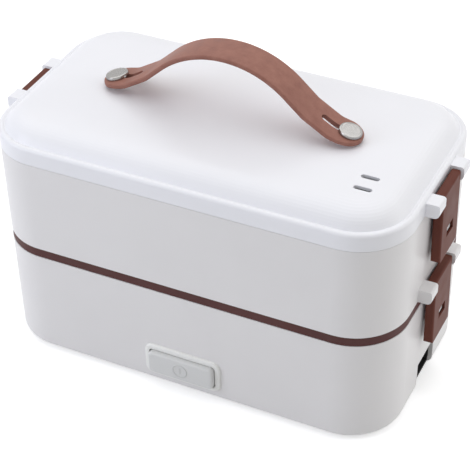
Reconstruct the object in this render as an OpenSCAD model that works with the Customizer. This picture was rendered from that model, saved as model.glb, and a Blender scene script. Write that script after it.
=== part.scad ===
// Two-tier electric lunch box: a heated base tier, an upper tier with a seal band, and a lift-off lid
// with a leather strap handle. Four hinged latches, two at each end, clamp the stack together.
// Millimetres. X runs along the length, the front with its power button faces -Y, and Z is up.

/* [Body] */
// Length of the shells, without the latch ears
body_l = 236; // [224:1:256]
// Width of the shells
body_w = 132; // [124:1:150]
// Radius of the upright corners, seen from above
corner_r = 31; // [29:0.5:36]
// Thickness of the plastic walls
wall = 2.4; // [2:0.1:2.8]
// Radius of the rounding along the base's bottom edge
bottom_r = 4.7; // [3.6:0.1:5.4]
// Height of the rubber feet
foot_h = 1.6; // [1:0.1:3]
// Height of the base shell
base_h = 66.2; // [62:0.2:74]
// Height of the brown seal band between the tiers
band_h = 5.8; // [5:0.1:7]
// Height of the upper tier's shell
tier_h = 55.2; // [52:0.2:64]
// Height of the lid's upright skirt
skirt_h = 10; // [9.5:0.1:12]
// Rise of the lid's crown over its rim
crown_h = 7.6; // [7:0.1:9.4]
// Radius of the rounding along the lid's rim
rim_r = 1.9; // [1.6:0.1:2.4]
// Fine gap that shows between the stacked shells
seam = 0.2; // [0.15:0.05:0.4]

/* [Rims and seals] */
// Thickness of the guiding tongue inside each rim
tongue_t = 2.1; // [1.8:0.1:2.4]
// Height of the tongue above its rim
tongue_h = 2.7; // [2:0.1:3]
// Sideways clearance of a tongue in its groove
tongue_gap = 0.3; // [0.25:0.05:0.5]
// Width of the seal band's section, from outside to inside
band_t = 7; // [6.6:0.1:7.6]
// Depth of the ledge below the base's rim, which carries the heating dish
ledge_drop = 8; // [7:0.2:9]
// Width of that ledge inside the wall
ledge_w = 6.6; // [6.4:0.1:7]
// Thickness of the ledges and floors
floor_t = 2.2; // [1.8:0.1:2.6]
// Width of the floor that rings the upper tier's steam opening
tier_floor_w = 20; // [17:0.5:24]

/* [Ears and latches] */
// Width of each latch
latch_w = 26.5; // [24:0.5:29]
// Thickness of the latch
latch_t = 5.4; // [5:0.1:5.8]
// Length of the latch below its hinge pin
latch_l = 39.5; // [38.5:0.5:42]
// Height of the latch above its hinge pin
latch_top = 3; // [2.8:0.1:3.1]
// Gap between the wall and a snapped latch
latch_gap = 0.9; // [0.8:0.05:1]
// Angle that a latch stands open at rest
latch_lean = 1.2; // [1.1:0.1:1.4]
// Radius of the latch's lower corners
latch_corner_r = 3; // [2:0.1:5]
// Rounding of the latch's edges
latch_edge_r = 1.2; // [1.1:0.1:1.4]
// Thickness of the latch's skin where a channel in its back clears the catch
latch_skin = 1; // [0.9:0.05:1.1]
// Width of the window in the latch
window_w = 9.8; // [9:0.1:11]
// Height of the window in the latch
window_h = 6; // [5.8:0.1:6.6]
// Distance of the window's centre below the hinge pin
window_drop = 24; // [23:0.5:25]
// Play between the catch and the window's edges, up and down
catch_play = 0.5; // [0.4:0.1:0.7]
// Play between the catch and the window's ends
catch_side_play = 1; // [0.8:0.1:1.4]
// Gap between the catch's tip and the skin of the latch at rest
catch_tip_gap = 0.3; // [0.26:0.02:0.34]
// Width of each ear
ear_w = 9.4; // [8.4:0.1:10.4]
// Height of each ear
ear_h = 8; // [7.6:0.1:8.4]
// Reach of each ear out from the wall
ear_reach = 7.6; // [7.2:0.1:8]
// Rounding of the ear's upper outer edge
ear_r = 1.5; // [0.8:0.1:1.8]
// Rounding of the ear's lower outer edge
ear_low_r = 3; // [1.5:0.1:3.2]
// Gap between an ear and the latch
ear_gap = 0.4; // [0.3:0.05:0.6]
// Radius of the hinge pins
pin_r = 1.2; // [1:0.05:1.3]
// Running clearance of a pin in its latch
pin_play = 0.08; // [0.05:0.01:0.1]
// Clearance of a pin in its ears
pin_fit = 0.03; // [0.02:0.01:0.05]
// Height of the hinge pin above the underside of its ears
pin_rise = 3.8; // [3.6:0.1:4.2]
// Distance of the hinge pin from the wall
pin_off = 4; // [3.95:0.05:4.2]

/* [Strap handle] */
// Distance of each strap stud from the middle
stud_x = 67.5; // [62:0.5:74]
// Width of the strap
strap_w = 20.5; // [18:0.5:23]
// Thickness of the strap
strap_t = 2.6; // [2.2:0.1:3]
// Reach of the strap's end past its stud
strap_end = 7.2; // [6.8:0.1:9]
// Width of the slot in the strap
slot_w = 4.2; // [4.1:0.1:4.8]
// Length of the slot from the stud towards the middle
slot_l = 14; // [12:0.5:18]
// Slope of the strap under its stud's cap
strap_a0 = 13; // [10:0.5:14]
// Slope of the strap's stretch beside the cap
strap_a1 = 30.6; // [27:0.2:33]
// Slope of the strap where its arch begins
strap_a2 = 41.8; // [39:0.2:44]
// Length of the stretch beside the cap
strap_s1 = 13.2; // [11:0.2:15]
// Length of the straight stretch under the arch
strap_s2 = 12.5; // [11:0.1:15]
// Bend radius beside the cap
strap_r1 = 12; // [8:0.5:14]
// Bend radius at the foot of the arch
strap_r2 = 8; // [7:0.5:10]
// Diameter of the stud caps
cap_d = 12.6; // [11:0.2:14]
// Height of the stud caps
cap_h = 2.2; // [2:0.1:2.6]
// Height of the domed part of a cap
cap_dome = 0.9; // [0.6:0.1:1.2]
// Radius of the stud's shank
shank_r = 1.8; // [1.7:0.05:1.9]
// Height of the washer's middle under the strap
washer_h = 2.4; // [2.2:0.1:2.8]
// Diameter of the washer under the strap
washer_d = 11; // [9:0.5:12]

/* [Steam slots] */
// Length of each steam slot
vent_l = 10; // [8:0.5:12]
// Width of each steam slot
vent_w = 3; // [2.4:0.1:3.4]
// Distance between the two slots
vent_pitch = 10.2; // [9:0.2:12]
// Distance of the slots' centre from the right end
vent_in_x = 28.5; // [27:0.5:30]
// Distance of the slots' centre from the front
vent_in_y = 34.5; // [33:0.5:36]

/* [Power button] */
// Width of the button
button_w = 39.6; // [34:0.2:44]
// Height of the button
button_h = 14.2; // [12.4:0.1:14.6]
// Reach of the button out from the front wall
button_proud = 4.4; // [4:0.1:5]
// Travel of the button
button_travel = 1.8; // [1.4:0.1:2]
// Gap between the button and its frame
button_gap = 0.4; // [0.3:0.05:0.6]
// Width of the frame that shows round the button
frame_rim = 2.9; // [2.4:0.1:3.4]
// Reach of the frame out from the front wall
frame_proud = 1.6; // [1.2:0.1:2]
// Height of the button's centre above the table
button_z = 19; // [18.8:0.1:19.4]
// Diameter of the power symbol's ring
symbol_d = 9; // [7:0.5:10]
// Line width of the power symbol
symbol_line = 0.9; // [0.7:0.1:1.1]
// Height of the power symbol over the button
symbol_h = 0.3; // [0.2:0.05:0.4]

/* [Power inlet] */
// Width of the inlet's cavity
inlet_w = 24.6; // [24.2:0.1:25.4]
// Height of the inlet's cavity
inlet_h = 16.8; // [16.4:0.1:17]
// Depth of the inlet's cavity
inlet_d = 16; // [15:0.5:18]
// Wall of the inlet's housing
inlet_wall = 1.2; // [1:0.1:1.4]
// Distance of the inlet's face behind the end wall's outer face
inlet_back = 2.8; // [2.8:0.1:3.4]
// Distance between the two line pins
blade_pitch = 14; // [13:0.1:14.4]
// Height of the earth pin's row over the line pins' row
blade_rise = 4; // [3.6:0.1:4.2]
// Length of the pins inside the cavity
blade_l = 11.5; // [10:0.5:12]

/* [Heating] */
// Thickness of the stainless sheet
sheet_t = 0.8; // [0.6:0.1:1]
// Height of the heating dish's floor above the table
dish_floor = 27; // [26.8:0.1:28]
// Length of the heater block
heater_l = 70; // [60:1:76]
// Width of the heater block
heater_w = 44; // [36:1:46]
// Thickness of the heater block
heater_t = 4.5; // [4:0.1:5]

/* [Bowls] */
// Gap between a bowl and its neighbours
bowl_gap = 2; // [1.6:0.1:2.6]
// Height of the lower bowls
low_bowl_h = 37; // [32:0.5:38]
// Height of the upper bowls
high_bowl_h = 45; // [40:0.5:46]
// Width of the rolled flange round a bowl
flange_w = 3.4; // [3:0.1:4]
// Thickness of a bowl's lid
bowl_lid_t = 1.6; // [1.4:0.1:2]
// Reach of a bowl's lid past its flange
bowl_lid_over = 1.3; // [0.8:0.1:1.6]
// Radius of a bowl's corners
bowl_r = 20; // [16:0.5:22]

/* [Hidden] */
$fn = 96;
// the object's middle lies midway between the button's face and the back wall
mid_y = button_proud / 2;
eps = 0.01;
rest_gap = 0.3;

// heights
base_z = foot_h;
base_top = base_z + base_h;
band_top = base_top + band_h;
tier_top = band_top + tier_h;
lid_z = tier_top + seam;
rim_z = tier_top + skirt_h;
crown_z = rim_z + crown_h;
ledge_z = base_top - ledge_drop;

// plan: half sizes and the centres of the upright corners
hx = body_l / 2;
hy = body_w / 2;
cx = hx - corner_r;
cy = hy - corner_r;
tongue_in = wall + tongue_gap;
tongue_end = tongue_in + tongue_t;

// latches and ears, with places along X taken from the hinge pin
pin_x = hx + pin_off;
upper_pin_z = tier_top + pin_rise;
lower_pin_z = band_top + pin_rise;
latch_in = latch_gap - pin_off;
latch_out = latch_in + latch_t;
latch_mid = (latch_in + latch_out) / 2;
skin_in = latch_out - latch_skin;
ear_in = latch_w / 2 + ear_gap;
pin_reach = ear_in + ear_w * 0.75;
catch_w = window_w - 2 * catch_side_play;
catch_h = window_h - 2 * catch_play;
catch_reach = pin_off + skin_in * cos(latch_lean) + window_drop * sin(latch_lean) - catch_tip_gap;
catch_slope = 1.2;

// seal and gaskets
gasket_t = 1.4;
dish_in = wall + ledge_w + rest_gap;
dish_flange_in = tongue_end + 0.4;
dish_top = ledge_z + gasket_t + sheet_t;
dish_r = corner_r - dish_in;
gasket_skirt = 0.3;
lid_gasket_z = tier_top + tongue_h + gasket_skirt;
lid_gasket_h = 2.3;
liner_z = lid_gasket_z + lid_gasket_h;
liner_t = 1.6;
liner_in = wall + 0.6;
liner_ring_in = tongue_end + 1.4;
liner_ring_t = 2;
liner_ring_z = tier_top + 1.2;

// lid crown: its curved border is as wide as the corner radius
groove_w = 1.4;
groove_h = 0.5;
crown_reach = corner_r - rim_r - 1.9;
crown_pow = 5.5;
crown_n = 16;
crown_wall = 1.8;

// power button and switch
frame_in_w = button_w + 2 * button_gap;
frame_in_h = button_h + 2 * button_gap;
frame_out_w = frame_in_w + 2 * frame_rim;
frame_out_h = frame_in_h + 2 * frame_rim;
sleeve_t = 1.2;
sleeve_gap = 0.1;
sleeve_end = 0.8;
sleeve_w = frame_in_w + 2 * sleeve_t;
sleeve_h = frame_in_h + 2 * sleeve_t;
sleeve_hole_w = sleeve_w + 2 * sleeve_gap;
sleeve_hole_h = sleeve_h + 2 * sleeve_gap;
button_r = 2.6;
frame_in_r = button_r + button_gap;
sleeve_r = frame_in_r + sleeve_t;
frame_r = 4.8;
flange_t = 1.2;
button_back_y = -hy + wall + sleeve_end + rest_gap + flange_t;
stem_d = 8;
stem_l = 3;
switch_gap = button_travel + 0.6;
switch_y = button_back_y + stem_l + switch_gap;
switch_l = 20;
switch_d = 13;
switch_h = 11;
plunger_d = 5;
plunger_l = switch_gap - button_travel - rest_gap;
switch_tab_x = 6;
switch_tab_t = 1;
post_w = 6;

// power inlet
inlet_x = hx - inlet_back;
inlet_out_w = inlet_w + 2 * inlet_wall;
inlet_out_h = inlet_h + 2 * inlet_wall;
inlet_z = base_z + 0.4;
inlet_mid_z = inlet_z + inlet_out_h / 2;
inlet_back_t = 4;
inlet_back_x = inlet_x - inlet_d - inlet_back_t;
recess_w = inlet_w + 0.8;
recess_top = inlet_z + inlet_wall + inlet_h + 0.4;
blade_t = 2;
blade_h = 4;
tab_l = 7;
tab_t = 0.8;

// bottom cover, screws and feet
cover_t = 2.2;
cover_gap = 0.3;
lip_in = bottom_r + 1.6;
cover_in = lip_in + cover_gap;
cover_top = base_z + cover_t;
boss_r = 4.2;
boss_h = 15;
boss_out = corner_r - cover_in - 5.6;
boss_x = cx + boss_out * cos(45);
boss_y = cy + boss_out * sin(45);
screw_r = 1.5;
screw_head_r = 2.8;
screw_head_h = 1.1;
screw_sink = 1.3;
screw_l = 12;
nut_r = 4.6;
nut_h = 3.2;
foot_r = 6.5;
foot_x = cx - 4;
foot_y = cy + 6;
notch_gap = 0.6;
inlet_gap = 0.1;
air_slot_l = 18;
air_slot_w = 2.2;
air_slot_pitch = 6;

// heater group, hung under the dish
dish_under = dish_floor - sheet_t;
heater_x = -18;
clamp_t = 1;
clamp_w = 12;
clamp_leg = 3;
stat_r = 8.5;
stat_h = 6;
stat_x = heater_x + heater_l / 2 + clamp_leg + stat_r + 6;
fuse_r = 2;
fuse_l = 12;
fuse_y = 29;
block_l = 26;
block_w = 12;
block_h = 12;
block_x = 62;
block_y = 24;
lamp_r = 2.5;
wire_r = 1;
wire_bend = 4;

// bowls
dish_clear_l = body_l - 2 * (dish_in + sheet_t);
dish_clear_w = body_w - 2 * (dish_in + sheet_t);
low_l = (dish_clear_l - 3 * bowl_gap) / 2;
low_w = dish_clear_w - 2 * bowl_gap;
mouth_l = body_l - 2 * (liner_ring_in + liner_ring_t);
mouth_w = body_w - 2 * (liner_ring_in + liner_ring_t);
high_l = (mouth_l - 3 * bowl_gap) / 2;
high_w = mouth_w - 2 * bowl_gap;
low_bowl_z = dish_floor + rest_gap;
plate_z = band_top + floor_t;
plate_t = 1;
high_bowl_z = plate_z + plate_t + rest_gap;
plate_over = 5;
plate_slot_l = 24;
plate_slot_w = 5;
plate_nx = 3;
plate_ny = 5;
plug_r = 5;
plug_h = 1.2;
bead_in = 6;
bead_w = 1.6;
bead_h = 0.8;

// ---- shared shapes ----

// Puts a piece, drawn about the body's own middle, into the object's frame.
module set_in_frame() {
    translate([0, mid_y, 0]) children();
}

// Rounded rectangle about the middle: half sizes and corner radius.
module rounded(ax, ay, r) {
    square([2 * ax, 2 * (ay - r)], center = true);
    square([2 * (ax - r), 2 * ay], center = true);
    for (sx = [-1, 1], sy = [-1, 1])
        translate([sx * (ax - r), sy * (ay - r)]) circle(r);
}

// The body's outline, drawn in by a given inset.
module plan(inset) {
    rounded(hx - inset, hy - inset, corner_r - inset);
}

// Upright ring between two insets of the body's outline.
module ring(z0, z1, inset0, inset1) {
    translate([0, 0, z0]) linear_extrude(z1 - z0) difference() {
        plan(inset0);
        plan(inset1);
    }
}

// Flat plate inside an inset of the body's outline.
module plate(z0, z1, inset) {
    translate([0, 0, z0]) linear_extrude(z1 - z0) plan(inset);
}

// Sweeps a section round the body's outline. The section's x runs outward from the corner centres.
module sweep() {
    for (q = [0:3]) {
        sx = q == 0 || q == 3 ? 1 : -1;
        sy = q < 2 ? 1 : -1;
        translate([sx * cx, sy * cy, 0]) rotate([0, 0, 90 * q]) rotate_extrude(angle = 90) children();
    }
    for (s = [0, 1]) {
        mirror([s, 0, 0]) translate([cx, cy, 0]) rotate([90, 0, 0]) linear_extrude(2 * cy) children();
        mirror([0, s, 0]) translate([-cx, cy, 0]) rotate([90, 0, 90]) linear_extrude(2 * cx) children();
    }
}

// A ball-ended slot in plan, from one point to another along X.
module slot_plan(x0, x1, w) {
    translate([x0, -w / 2]) square([x1 - x0, w]);
    translate([x0, 0]) circle(w / 2);
    translate([x1, 0]) circle(w / 2);
}

// Rounded plate standing in the front wall's plane: centred in x and z, from y0 to y1.
module front_plate(y0, y1, w, h, r) {
    translate([0, y1, button_z]) rotate([90, 0, 0]) linear_extrude(y1 - y0) rounded(w / 2, h / 2, r);
}

// Wire in two straight runs with a round bend: first along X, then along Y.
module bent_wire(x0, y0, x1, y1, z) {
    sx = x1 < x0 ? 1 : 0;
    sy = y1 < y0 ? 1 : 0;
    run_x = abs(x1 - x0) - wire_bend;
    run_y = abs(y1 - y0) - wire_bend;
    translate([x0, y0, z]) mirror([sx, 0, 0]) mirror([0, sy, 0]) {
        rotate([0, 90, 0]) cylinder(h = run_x, r = wire_r);
        translate([run_x, wire_bend, 0]) rotate([0, 0, -90])
            rotate_extrude(angle = 90) translate([wire_bend, 0]) circle(wire_r);
        translate([run_x + wire_bend, wire_bend, 0]) rotate([-90, 0, 0]) cylinder(h = run_y, r = wire_r);
    }
}

// Both ends of the body: draws its children at the right end and mirrored at the left.
module both_ends() {
    children();
    mirror([1, 0, 0]) children();
}

// ---- ears, catches, pins and latches ----

// The two ears for one latch at the right end, standing on the level z against the wall.
module ears(z) {
    low_x = hx + ear_reach - ear_low_r;
    high_x = hx + ear_reach - ear_r;
    for (s = [0, 1]) mirror([0, s, 0])
        translate([0, ear_in + ear_w, z]) rotate([90, 0, 0]) linear_extrude(ear_w) {
            translate([hx, 0]) square([low_x - hx, ear_h]);
            translate([low_x - eps, ear_low_r]) square([high_x - low_x + eps, ear_h - ear_low_r]);
            translate([high_x - eps, ear_low_r]) square([ear_r + eps, ear_h - ear_low_r - ear_r]);
            translate([low_x, ear_low_r]) circle(ear_low_r);
            translate([high_x, ear_h - ear_r]) circle(ear_r);
        }
}

// Bore for one hinge pin: open at the rear ear's outer side, blind at the front one.
module pin_bore(z) {
    translate([pin_x, -pin_reach - pin_fit, z]) rotate([-90, 0, 0])
        cylinder(h = pin_reach + pin_fit + ear_in + ear_w + 1, r = pin_r + pin_fit);
}

// Hinge pin of one latch, between its blind end and the rear ear's outer side.
module hinge_pin(z) {
    translate([pin_x, -pin_reach, z]) rotate([-90, 0, 0])
        cylinder(h = pin_reach + ear_in + ear_w - 0.3, r = pin_r);
}

// Catch on the right end wall, with a sloped upper edge that the latch rides over.
module catch(z) {
    translate([0, catch_w / 2, z]) rotate([90, 0, 0]) linear_extrude(catch_w)
        polygon([
            [hx, -catch_h / 2],
            [hx + catch_reach, -catch_h / 2],
            [hx + catch_reach, catch_h / 2 - catch_slope],
            [hx + catch_reach - catch_slope, catch_h / 2],
            [hx, catch_h / 2]
        ]);
}

// Side view of a latch, with its level edges rounded and the hinge pin at the middle.
module latch_section() {
    translate([latch_mid, (latch_top - latch_l) / 2])
        rounded(latch_t / 2, (latch_top + latch_l) / 2, latch_edge_r);
}

// Front view of a latch, with rounded lower corners.
module latch_face() {
    r = latch_corner_r;
    translate([-latch_w / 2, -latch_l + r]) square([latch_w, latch_l - r + latch_top + 1]);
    translate([-latch_w / 2 + r, -latch_l]) square([latch_w - 2 * r, r + eps]);
    for (s = [-1, 1]) translate([s * (latch_w / 2 - r), -latch_l + r]) circle(r);
}

// Latch at the right end, hinged at the level z and leaning open a little.
module latch(z) {
    translate([pin_x, 0, z]) rotate([0, -latch_lean, 0]) difference() {
        intersection() {
            translate([0, latch_w / 2, 0]) rotate([90, 0, 0]) linear_extrude(latch_w) latch_section();
            translate([-10, 0, 0]) rotate([90, 0, 90]) linear_extrude(20) latch_face();
            translate([latch_mid, 0, -latch_l - 1]) linear_extrude(latch_l + latch_top + 2)
                rounded(latch_t / 2, latch_w / 2, latch_edge_r);
        }
        translate([latch_in - 1, -window_w / 2, -window_drop - window_h / 2])
            cube([latch_t + 2, window_w, window_h]);
        translate([latch_in - 1, -window_w / 2, -latch_l - 1])
            cube([skin_in - latch_in + 1, window_w, latch_l + 1 - window_drop + eps]);
        rotate([90, 0, 0]) cylinder(h = latch_w + 2, r = pin_r + pin_play, center = true);
    }
}

// ---- base tier ----

// Section of the base's rounded bottom edge with the lip that frames the cover.
module bottom_section() {
    edge_x = corner_r - bottom_r;
    translate([edge_x, base_z + bottom_r]) intersection() {
        difference() {
            circle(bottom_r);
            circle(bottom_r - wall);
        }
        translate([0, -bottom_r]) square(bottom_r);
    }
    translate([corner_r - lip_in, base_z]) square([lip_in - bottom_r, wall]);
}

module base_shell() {
    color([0.93, 0.93, 0.94]) set_in_frame() difference() {
        union() {
            ring(base_z + bottom_r, base_top, 0, wall);
            sweep() bottom_section();
            ring(ledge_z - floor_t, ledge_z, wall - eps, wall + ledge_w);
            ring(ledge_z - floor_t, base_top, wall - eps, tongue_end - tongue_gap);
            ring(base_top - eps, base_top + tongue_h, tongue_in, tongue_end - tongue_gap);
            for (sx = [-1, 1], sy = [-1, 1]) screw_boss(sx, sy);
        }
        front_plate(-hy - 1, -hy + wall + 1, sleeve_hole_w, sleeve_hole_h, sleeve_r);
        translate([hx - lip_in - 1, -recess_w / 2, 0]) cube([lip_in + 2, recess_w, recess_top]);
        translate([hx - lip_in - 1, -inlet_out_w / 2 - inlet_gap, 0])
            cube([lip_in + 1 - inlet_back + inlet_gap, inlet_out_w + 2 * inlet_gap, inlet_z + inlet_out_h]);
        for (sx = [-1, 1], sy = [-1, 1]) translate([sx * boss_x, sy * boss_y, 0])
            cylinder(h = screw_l + base_z + screw_sink + 1, r = screw_r + 0.02);
    }
}

// Screw boss in one corner of the base, tied to the wall by a rib.
module screw_boss(sx, sy) {
    translate([sx * boss_x, sy * boss_y, cover_top]) cylinder(h = boss_h, r = boss_r);
    translate([sx * cx, sy * cy, cover_top]) rotate([0, 0, atan2(sy, sx)])
        translate([boss_out, -wall / 2, 0]) cube([corner_r - wall / 2 - boss_out, wall, boss_h]);
}

module base_catches() {
    color([0.93, 0.93, 0.94]) set_in_frame() both_ends() catch(lower_pin_z - window_drop);
}

module bottom_cover() {
    color([0.86, 0.86, 0.87]) set_in_frame() difference() {
        union() {
            plate(base_z, cover_top, cover_in);
            for (x = [-switch_l / 2, switch_l / 2 - post_w]) translate([x, switch_y, cover_top - eps])
                cube([post_w, switch_d, button_z - switch_h / 2 - cover_top + eps]);
        }
        translate([inlet_back_x - notch_gap, -inlet_out_w / 2 - notch_gap, 0])
            cube([body_l, inlet_out_w + 2 * notch_gap, cover_top + eps]);
        for (sx = [-1, 1], sy = [-1, 1]) translate([sx * boss_x, sy * boss_y, 0]) {
            cylinder(h = cover_top + 1, r = screw_r + 0.2);
            cylinder(h = base_z + screw_sink, r = screw_head_r + 0.3);
        }
        for (i = [-3:3]) translate([heater_x, i * air_slot_pitch, 0]) linear_extrude(cover_top + 1)
            slot_plan(-air_slot_l / 2, air_slot_l / 2, air_slot_w);
    }
}

module foot(sx, sy) {
    color([0.25, 0.25, 0.26]) set_in_frame()
        translate([sx * foot_x, sy * foot_y, 0]) cylinder(h = foot_h, r = foot_r);
}

module foot_front_left() { foot(-1, -1); }
module foot_front_right() { foot(1, -1); }
module foot_rear_left() { foot(-1, 1); }
module foot_rear_right() { foot(1, 1); }

module cover_screws() {
    color([0.7, 0.7, 0.72]) set_in_frame() for (sx = [-1, 1], sy = [-1, 1])
        translate([sx * boss_x, sy * boss_y, base_z + screw_sink]) {
            translate([0, 0, -screw_head_h]) difference() {
                cylinder(h = screw_head_h, r = screw_head_r);
                for (a = [0, 90]) rotate([0, 0, a]) translate([0, 0, 0.3])
                    cube([2 * screw_r, 0.7, 0.8], center = true);
            }
            cylinder(h = screw_l, r = screw_r);
        }
}

module heating_dish() {
    color([0.78, 0.79, 0.8]) set_in_frame() {
        ring(dish_top - sheet_t, dish_top, dish_flange_in, dish_in + sheet_t);
        ring(dish_under, dish_top - sheet_t, dish_in, dish_in + sheet_t);
        plate(dish_under, dish_floor, dish_in);
    }
}

module dish_gasket() {
    color([0.9, 0.9, 0.88]) set_in_frame()
        ring(ledge_z, ledge_z + gasket_t, dish_flange_in, wall + ledge_w);
}

module heater_block() {
    color([0.72, 0.73, 0.74]) set_in_frame()
        translate([heater_x - heater_l / 2, -heater_w / 2, dish_under - heater_t])
            cube([heater_l, heater_w, heater_t]);
}

module heater_clamp() {
    leg_x = heater_l / 2 + clamp_leg;
    color([0.65, 0.66, 0.68]) set_in_frame()
        translate([heater_x, clamp_w / 2, dish_under]) rotate([90, 0, 0]) linear_extrude(clamp_w) polygon([
            [-leg_x, 0],
            [-leg_x, -heater_t - clamp_t],
            [leg_x, -heater_t - clamp_t],
            [leg_x, 0],
            [leg_x - clamp_t, 0],
            [leg_x - clamp_t, -heater_t],
            [-leg_x + clamp_t, -heater_t],
            [-leg_x + clamp_t, 0]
        ]);
}

module thermostat() {
    color([0.55, 0.42, 0.3]) set_in_frame() translate([stat_x, 0, dish_under - stat_h]) {
        cylinder(h = stat_h, r = stat_r);
        for (s = [0, 1]) mirror([0, s, 0]) translate([-2.5, stat_r - 2, 0.6]) cube([5, 5, tab_t]);
    }
}

module thermal_fuse() {
    color([0.85, 0.85, 0.8]) set_in_frame() translate([heater_x, fuse_y, dish_under - 2 * fuse_r]) {
        translate([-fuse_l / 2, 0, fuse_r]) rotate([0, 90, 0]) cylinder(h = fuse_l, r = fuse_r - 0.1);
        translate([-fuse_l / 4, -fuse_r, fuse_r]) cube([fuse_l / 2, 2 * fuse_r, fuse_r]);
    }
}

module terminal_block() {
    color([0.92, 0.9, 0.84]) set_in_frame() translate([block_x, block_y, cover_top]) difference() {
        translate([-block_l / 2, -block_w / 2, 0]) cube([block_l, block_w, block_h]);
        for (i = [-1:1]) translate([i * block_l / 3.4, 0, block_h - 3]) cylinder(h = 4, r = 2);
    }
}

module power_switch() {
    color([0.2, 0.2, 0.22]) set_in_frame() {
        translate([-switch_l / 2, switch_y, button_z - switch_h / 2]) cube([switch_l, switch_d, switch_h]);
        translate([-plunger_d / 2, switch_y - plunger_l, button_z - plunger_d / 2])
            cube([plunger_d, plunger_l + eps, plunger_d]);
        for (s = [-1, 1]) translate([s * switch_tab_x - 1.5, switch_y + switch_d - eps, cover_top + 3])
            cube([3, switch_tab_t + eps, button_z - cover_top]);
    }
}

module button_frame() {
    color([0.84, 0.86, 0.85]) set_in_frame() difference() {
        union() {
            front_plate(-hy - frame_proud, -hy, frame_out_w, frame_out_h, frame_r);
            front_plate(-hy - eps, -hy + wall + sleeve_end, sleeve_w, sleeve_h, sleeve_r);
        }
        front_plate(-hy - frame_proud - 1, -hy + wall + sleeve_end + 1, frame_in_w, frame_in_h, frame_in_r);
    }
}

module power_button() {
    color([0.82, 0.85, 0.85]) set_in_frame() {
        front_plate(-hy - button_proud, button_back_y, button_w, button_h, button_r);
        front_plate(button_back_y - flange_t, button_back_y, sleeve_w - 0.6, sleeve_h - 0.6, button_r);
        translate([-stem_d / 2, button_back_y - eps, button_z - stem_d / 2]) cube([stem_d, stem_l, stem_d]);
        power_symbol();
    }
}

// Ring with a bar inside it, raised on the button's face.
module power_symbol() {
    translate([0, -hy - button_proud, button_z]) rotate([90, 0, 0]) linear_extrude(symbol_h) {
        difference() {
            circle(symbol_d / 2);
            circle(symbol_d / 2 - symbol_line);
        }
        square([symbol_line, symbol_d * 0.45], center = true);
    }
}

// Bent leaf spring between the switch and the button's back, below the stem.
module button_spring() {
    reach = switch_y - button_back_y;
    leaf_t = 0.4;
    z = button_z - stem_d / 2 - 1;
    color([0.7, 0.7, 0.68]) set_in_frame() translate([0, button_back_y, z - 2]) linear_extrude(2)
        polygon([
            [-switch_l / 2, reach - leaf_t], [-switch_l / 2, reach],
            [-switch_l / 4, reach], [0, leaf_t * 2],
            [switch_l / 4, reach], [switch_l / 2, reach],
            [switch_l / 2, reach - leaf_t], [switch_l / 4 + 0.4, reach - leaf_t],
            [0.6, 0.05], [-0.6, 0.05], [-switch_l / 4 - 0.4, reach - leaf_t]
        ]);
}

module signal_lamp() {
    color([0.95, 0.55, 0.3]) set_in_frame() {
        translate([switch_l / 2 + lamp_r + 2, switch_y - 2, button_z]) rotate([-90, 0, 0])
            cylinder(h = 6, r = lamp_r);
        translate([switch_l / 2, switch_y + 3, button_z - 1]) cube([lamp_r + 3, 1.2, 2]);
    }
}

module inlet_housing() {
    color([0.08, 0.08, 0.09]) set_in_frame() difference() {
        translate([inlet_back_x, -inlet_out_w / 2, inlet_z])
            cube([inlet_x - inlet_back_x, inlet_out_w, inlet_out_h]);
        translate([inlet_x - inlet_d, 0, inlet_mid_z]) rotate([90, 0, 90]) linear_extrude(inlet_d + 1)
            inlet_opening();
        blades(blade_gap = 0.01);
    }
}

// Outline of the inlet's cavity: a rectangle with its two upper corners cut off.
module inlet_opening() {
    w = inlet_w / 2;
    h = inlet_h / 2;
    c = 5;
    polygon([[-w, -h], [w, -h], [w, h - c], [w - c, h], [-w + c, h], [-w, h - c]]);
}

// The three inlet pins, from their solder tabs behind the housing to their tips.
module blades(blade_gap = 0) {
    g = blade_gap;
    for (i = [-1:1]) {
        dz = i == 0 ? blade_rise / 2 : -blade_rise / 2;
        translate([inlet_back_x - tab_l, i * blade_pitch / 2, inlet_mid_z + dz])
            translate([0, -blade_t / 2 - g, -blade_h / 2 - g])
                cube([tab_l + inlet_back_t + blade_l, blade_t + 2 * g, blade_h + 2 * g]);
    }
}

module inlet_pins() {
    color([0.85, 0.72, 0.4]) set_in_frame() blades();
}

module live_wire() {
    color([0.55, 0.33, 0.2]) set_in_frame()
        bent_wire(inlet_back_x - tab_l, -blade_pitch / 2, switch_tab_x, switch_y + switch_d + switch_tab_t,
            inlet_mid_z - blade_rise / 2);
}

module earth_wire() {
    color([0.45, 0.6, 0.2]) set_in_frame()
        bent_wire(inlet_back_x - tab_l, 0, block_x + block_l / 4, block_y - block_w / 2,
            inlet_mid_z + blade_rise / 2);
}

module neutral_wire() {
    color([0.2, 0.35, 0.7]) set_in_frame()
        bent_wire(inlet_back_x - tab_l, blade_pitch / 2, block_x - block_l / 4, block_y - block_w / 2,
            inlet_mid_z - blade_rise / 2);
}

module switch_wire() {
    color([0.75, 0.2, 0.18]) set_in_frame()
        bent_wire(block_x - block_l / 2, block_y, -switch_tab_x, switch_y + switch_d + switch_tab_t,
            inlet_mid_z - blade_rise / 2);
}

// ---- bowls ----

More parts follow.
